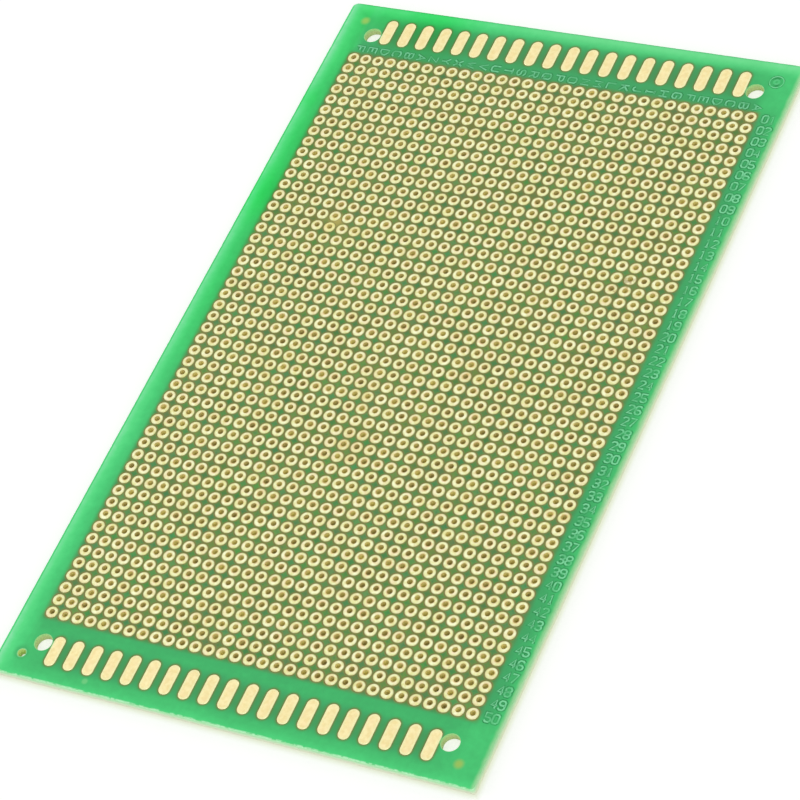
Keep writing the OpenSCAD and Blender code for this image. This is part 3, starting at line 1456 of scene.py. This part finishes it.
@dataclass
class Lettering:
    """Plain coordinates in copper foil under the lacquer, seen as low ridges with a darker foot of
    painted shade.
    """

    layout: Layout
    name: str
    finishes: list[Material]
    height: float
    width: float
    # the width of a stroke and its height over the film
    crown: tuple[float, float] = (0.42, 0.018)
    shaded_foot: tuple[float, float] = (0.76, 0.007)

    def glyph(self, curve: bpy.types.Curve, sign: str, place: Matrix) -> None:
        """Draw one sign as strokes.

        Args:
            curve: the curve that takes the strokes.
            sign: the letter or digit.
            place: from the sign's own square, lower left corner at zero, to the board.
        """
        for stroke in STROKES[sign].split("/"):
            points = [place @ Vector((int(p[0]) / GLYPH_COLUMNS * self.width,
                                      int(p[1]) / GLYPH_ROWS * self.height, 0))
                      for p in stroke.split()]
            closed = (points[0] - points[-1]).length < TINY
            if closed:
                points.pop()
            line = curve.splines.new("POLY")
            line.points.add(len(points) - 1)
            for slot, point in zip(line.points, points):
                slot.co = (*point, 1.0)
            line.use_cyclic_u = closed

    def ridges(self, bm: Mesh, signs: list[tuple[str, Matrix]], stroke: float, lift: float) -> None:
        """Raise all the strokes as low rounded ridges on the film.

        Args:
            bm: the mesh that takes them.
            signs: each sign with its place.
            stroke: width of a ridge.
            lift: height of its crown over the film.
        """
        curve = bpy.data.curves.new(self.name + "_line", "CURVE")
        curve.dimensions = "3D"
        curve.bevel_depth = stroke / 2
        curve.bevel_resolution = 1
        curve.use_fill_caps = True
        for sign, place in signs:
            self.glyph(curve, sign, place)
        pattern = bpy.data.objects.new(self.name + "_line", curve)
        known = set(bm.verts)
        bm.from_mesh(pattern.to_mesh())
        pattern.to_mesh_clear()
        bpy.data.objects.remove(pattern)
        bpy.data.curves.remove(curve)
        fresh = [v for v in bm.verts if v not in known]
        bmesh.ops.scale(bm, vec=(1, 1, lift / (stroke / 2)), verts=fresh)
        bmesh.ops.translate(bm, vec=(0, 0, self.layout.film_top), verts=fresh)
        bmesh.ops.remove_doubles(bm, verts=fresh, dist=MERGE / 2)

    def build(self, signs: list[tuple[str, Matrix]]) -> Mesh:
        """Raise the crowns, then a wide low foot under them with a finish of its own, which paints shade
        round the strokes.

        Args:
            signs: each sign with its place.

        Returns:
            The mesh.
        """
        bm = bmesh.new()
        self.ridges(bm, signs, *self.crown)
        crowns = set(bm.faces)
        self.ridges(bm, signs, *self.shaded_foot)
        for face in bm.faces:
            face.material_index = 0 if face in crowns else 1
        face_outwards(bm)
        return bm

    def dress(self, bm: Mesh) -> bpy.types.Object:
        """Finish the ridges as a piece of their own."""
        return finish_piece(bm, self.name, self.finishes, crease=60.0)


@dataclass
class RowNumbers(Lettering):
    """The row numbers down the right-hand side."""

    left: float = 41.6
    gap: float = 0.35

    def signs(self) -> list[tuple[str, Matrix]]:
        """Give each digit its place beside its row.

        Returns:
            Each digit with its place.
        """
        found = []
        for row in range(self.layout.rows):
            for index, digit in enumerate(f"{row + 1:02d}"):
                x = self.left + index * (self.width + self.gap)
                y = self.layout.row_y(row) - self.height / 2
                found.append((digit, Matrix.Translation((x, y, 0))))
        return found


@dataclass
class ColumnLetters(Lettering):
    """The column letters between the long pads and the first row, turned a quarter right."""

    top: float = 65.11
    right: float = 0.38

    def signs(self) -> list[tuple[str, Matrix]]:
        """Give each letter its place over its column.

        Returns:
            Each letter with its place.
        """
        found = []
        turn = Matrix.Rotation(-math.pi / 2, 4, "Z")
        for column in range(self.layout.columns):
            x = self.layout.column_x(column) + self.right - self.height / 2
            letter = ALPHABET[column % len(ALPHABET)]
            found.append((letter, Matrix.Translation((x, self.top, 0)) @ turn))
        return found


@dataclass
class CornerTarget:
    """The ring and disc of foil under the lacquer in the back right corner."""

    layout: Layout
    finishes: list[Material]
    inset: tuple[float, float] = (3.9, 4.3)
    ring_d: float = 2.54
    ring_w: float = 0.28
    disc_d: float = 1.4
    dot_d: float = 0.34
    lift: float = 0.016
    shaded_foot: float = 0.14
    foot_lift: float = 0.006
    eye_d: float = 0.04
    sunk: float = 0.01
    slope: float = 0.06
    sides: int = 40

    def low_ring(self, bm: Mesh, inner: float, outer: float, lift: float) -> None:
        """Turn a low ring with rounded edges.

        Args:
            bm: the mesh that takes it.
            inner: inner radius.
            outer: outer radius.
            lift: height of its top over the film.
        """
        base = self.layout.film_top - self.sunk
        top = self.layout.film_top + lift
        section = ((inner, base), (inner + self.slope, top), (outer - self.slope, top), (outer, base))
        turn_section(bm, section, self.sides)

    def build(self) -> Mesh:
        """Make the ring, the pierced disc and the dark foot of painted shade that joins them.

        Returns:
            The mesh.
        """
        bm = bmesh.new()
        outer = self.ring_d / 2 + self.ring_w / 2
        self.low_ring(bm, self.ring_d / 2 - self.ring_w / 2, outer, self.lift)
        ring = set(bm.faces)
        self.low_ring(bm, self.dot_d / 2, self.disc_d / 2, self.lift)
        raised = set(bm.faces)
        self.low_ring(bm, self.eye_d / 2, outer + self.shaded_foot, self.foot_lift)
        for face in bm.faces:
            face.material_index = 0 if face in ring else 2 if face in raised else 1
        bmesh.ops.remove_doubles(bm, verts=bm.verts, dist=MERGE)
        face_outwards(bm)
        x = self.layout.half_w - self.inset[0]
        y = self.layout.half_l - self.inset[1]
        bmesh.ops.translate(bm, vec=(x, y, 0), verts=bm.verts)
        return bm

    def dress(self, bm: Mesh) -> bpy.types.Object:
        """Finish the target as a piece of its own."""
        return finish_piece(bm, "corner_target", self.finishes)


# ---------------------------------------------------------------- studio


@dataclass(frozen=True)
class Studio:
    """A plain pale floor, soft light and the camera."""

    layout: Layout
    eye: tuple[float, float, float] = (263.903, -286.978, 447.363)
    turn: tuple[float, float, float] = (37.92407, 15.49469, 24.27916)
    lens: float = 157.45
    sensor: float = 36.0
    clip: tuple[float, float] = (0.01, 20.0)
    ambient: float = 0.68
    floor_glow: float = 0.45
    light_through: float = 0.11
    floor_reach: float = 3000.0
    floor_drop: float = 0.02
    lamp_size: float = 0.9
    # each lamp's name, power in watts and place in metres
    lamps: tuple[tuple[str, float, float, float, float], ...] = (
        ("soft_key", 3.3, -1.05, -0.15, 0.45), ("soft_fill", 3.3, 0.3, 1.1, 0.45),
        ("soft_front", 3.4, 0.75, -0.87, 0.42))

    def seen_directly(self, tree: bpy.types.NodeTree) -> Socket:
        """One for what the camera, a mirror or clear glass sees, and zero for light on the board.

        Args:
            tree: the node tree that asks.

        Returns:
            The share's output.
        """
        path = tree.nodes.new("ShaderNodeLightPath")
        total = path.outputs["Is Camera Ray"]
        for name in ("Is Glossy Ray", "Is Transmission Ray"):
            join = tree.nodes.new("ShaderNodeMath")
            join.operation = "MAXIMUM"
            tree.links.new(total, join.inputs[0])
            tree.links.new(path.outputs[name], join.inputs[1])
            total = join.outputs[0]
        return total

    def light_world(self) -> None:
        """Surround the board with even pale light that shows as white."""
        world = bpy.data.worlds.new("pale_surround")
        bpy.context.scene.world = world
        world.use_nodes = True
        tree = world.node_tree
        tree.nodes.clear()
        shown = tree.nodes.new("ShaderNodeBackground")
        cast = tree.nodes.new("ShaderNodeBackground")
        cast.inputs["Strength"].default_value = self.ambient
        for node in (shown, cast):
            node.inputs["Color"].default_value = (1, 1, 1, 1)
        join = tree.nodes.new("ShaderNodeMixShader")
        tree.links.new(self.seen_directly(tree), join.inputs[0])
        tree.links.new(cast.outputs[0], join.inputs[1])
        tree.links.new(shown.outputs[0], join.inputs[2])
        out = tree.nodes.new("ShaderNodeOutputWorld")
        tree.links.new(join.outputs[0], out.inputs[0])

    def floor_finish(self) -> Material:
        """White floor that shows bright, with a painted warm shadow beside the board and painted light
        under it.

        Returns:
            The material.
        """
        recipe = Recipe("white_floor")
        grain = recipe.mix(recipe.grain(40.0, 2.0), "f4f4f2", "f7f7f6")
        direct = Value(recipe, self.seen_directly(recipe.tree))
        past_x = abs(recipe.x) - self.layout.half_w
        past_y = abs(recipe.y) - self.layout.half_l
        past = recipe.most(past_x, past_y)
        # painted light: under the board the floor glows brighter, as light comes through the sheet
        under = recipe.fade(past, -1.5, -0.5)
        # painted shadow: a warm beige shade on the floor beside the board
        warm = recipe.math("SUBTRACT", recipe.fade(past, -0.6, 1.3), under, clamp=True)
        shade = recipe.mix(warm, "ffffff", "e1e6ce")
        grain = recipe.mix(1.0, recipe.mix(direct, grain, "d2d2d0"), shade, "MULTIPLY")
        recipe.set(Base_Color=grain, Roughness=0.85, Specular_IOR_Level=0.1)
        glow = recipe.add("ShaderNodeEmission")
        recipe.feed(glow.inputs["Color"], shade)
        lit = under * self.light_through + self.floor_glow
        recipe.feed(glow.inputs["Strength"], direct * lit)
        both = recipe.add("ShaderNodeAddShader")
        recipe.tree.links.new(recipe.surface.outputs[0], both.inputs[0])
        recipe.tree.links.new(glow.outputs[0], both.inputs[1])
        recipe.tree.links.new(both.outputs[0], recipe.output.inputs[0])
        return recipe.material

    def lay_floor(self) -> None:
        """Lay a broad white floor just under the board."""
        bm = bmesh.new()
        bmesh.ops.create_grid(bm, x_segments=4, y_segments=4, size=self.floor_reach)
        bmesh.ops.translate(bm, vec=(0, 0, -self.floor_drop), verts=bm.verts)
        mesh = in_metres(bm, "floor")
        mesh.materials.append(self.floor_finish())
        floor = put_in_scene("floor", mesh)

    def hang_lamps(self) -> None:
        """Hang the broad soft lamps: over the left side, over the back and low in front."""
        for name, watts, x, y, z in self.lamps:
            lamp = bpy.data.lights.new(name, "AREA")
            lamp.shape = "SQUARE"
            lamp.size = self.lamp_size
            lamp.energy = watts
            holder = put_in_scene(name, lamp)
            holder.location = (x, y, z)
            holder.rotation_euler = (-Vector(holder.location)).to_track_quat("-Z", "Y").to_euler()

    def place_camera(self) -> None:
        """Stand the camera where the board shows its long side from the front right."""
        camera = bpy.data.cameras.new("camera")
        camera.lens = self.lens
        camera.sensor_width = self.sensor
        camera.clip_start, camera.clip_end = self.clip
        holder = put_in_scene("camera", camera)
        x, y, z = self.eye
        holder.location = (x * MM, y * MM, (z + self.layout.copper_top) * MM)
        holder.rotation_euler = [math.radians(a) for a in self.turn]
        bpy.context.scene.camera = holder

    def set_up(self) -> None:
        """Build the whole studio."""
        self.light_world()
        self.lay_floor()
        self.hang_lamps()
        self.place_camera()
        bpy.context.scene.view_settings.view_transform = "Standard"


def corners(bounds: tuple) -> list[list[float]]:
    """Write a box down as plain lists of numbers."""
    return [[float(n) for n in corner] for corner in bounds]


def main() -> None:
    """Load the frame, build every piece over it and set the studio up."""
    logging.basicConfig(level=logging.INFO, format="%(name)s: %(message)s")
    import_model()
    layout = Layout.from_frame()
    size = (2 * layout.half_w, 2 * layout.half_l)
    LOG.info("board %.1f x %.1f mm, %d columns by %d rows", *size, layout.columns, layout.rows)
    Studio(layout).set_up()

    laminate = Laminate(layout)
    laminate.dress(laminate.build())
    film = LacquerFilm(layout)
    film.dress(film.build())

    plating = GildedCopperFinish(layout, "ring_pad_plating", face="fcffd4", shade="eae9a3", rim="e8e4a0",
                                 blush="f6dcb8").make()
    rings = RingPads(layout, plating)
    for index in range(layout.columns):
        rings.dress(rings.build(index), index)
    plating = GildedCopperFinish(layout, "long_pad_plating", face="fdefb6", shade="f3e0a0", rim="eef4bc",
                                 blush="fbe4ae").make()
    for side in Side:
        row = EdgePads(layout, side, plating)
        row.dress(row.build())

    # the last finish, dark green, paints shade round the raised foil
    crown, faint_crown, disc, shaded_foot = (
        LacquerFinish(layout, name, roughness=rough, tint=tint, tint_share=share).make()
        for name, rough, tint, share in (
            ("lacquer_over_foil", 0.28, "8ee8b0", 0.64), ("lacquer_over_worn_foil", 0.28, "88e0ac", 0.62),
            ("lacquer_over_disc", 0.28, "78cc9a", 0.3), ("lacquer_painted_shade_at_foil", 0.34, "1f7a40", 0.6)))
    numbers = RowNumbers(layout, "row_numbers", [crown, shaded_foot], height=1.62, width=1.0)
    numbers.dress(numbers.build(numbers.signs()))
    letters = ColumnLetters(layout, "column_letters", [faint_crown, shaded_foot], height=1.6, width=1.22)
    letters.dress(letters.build(letters.signs()))
    target = CornerTarget(layout, [crown, shaded_foot, disc])
    target.dress(target.build())


if __name__ == "__main__":
    main()
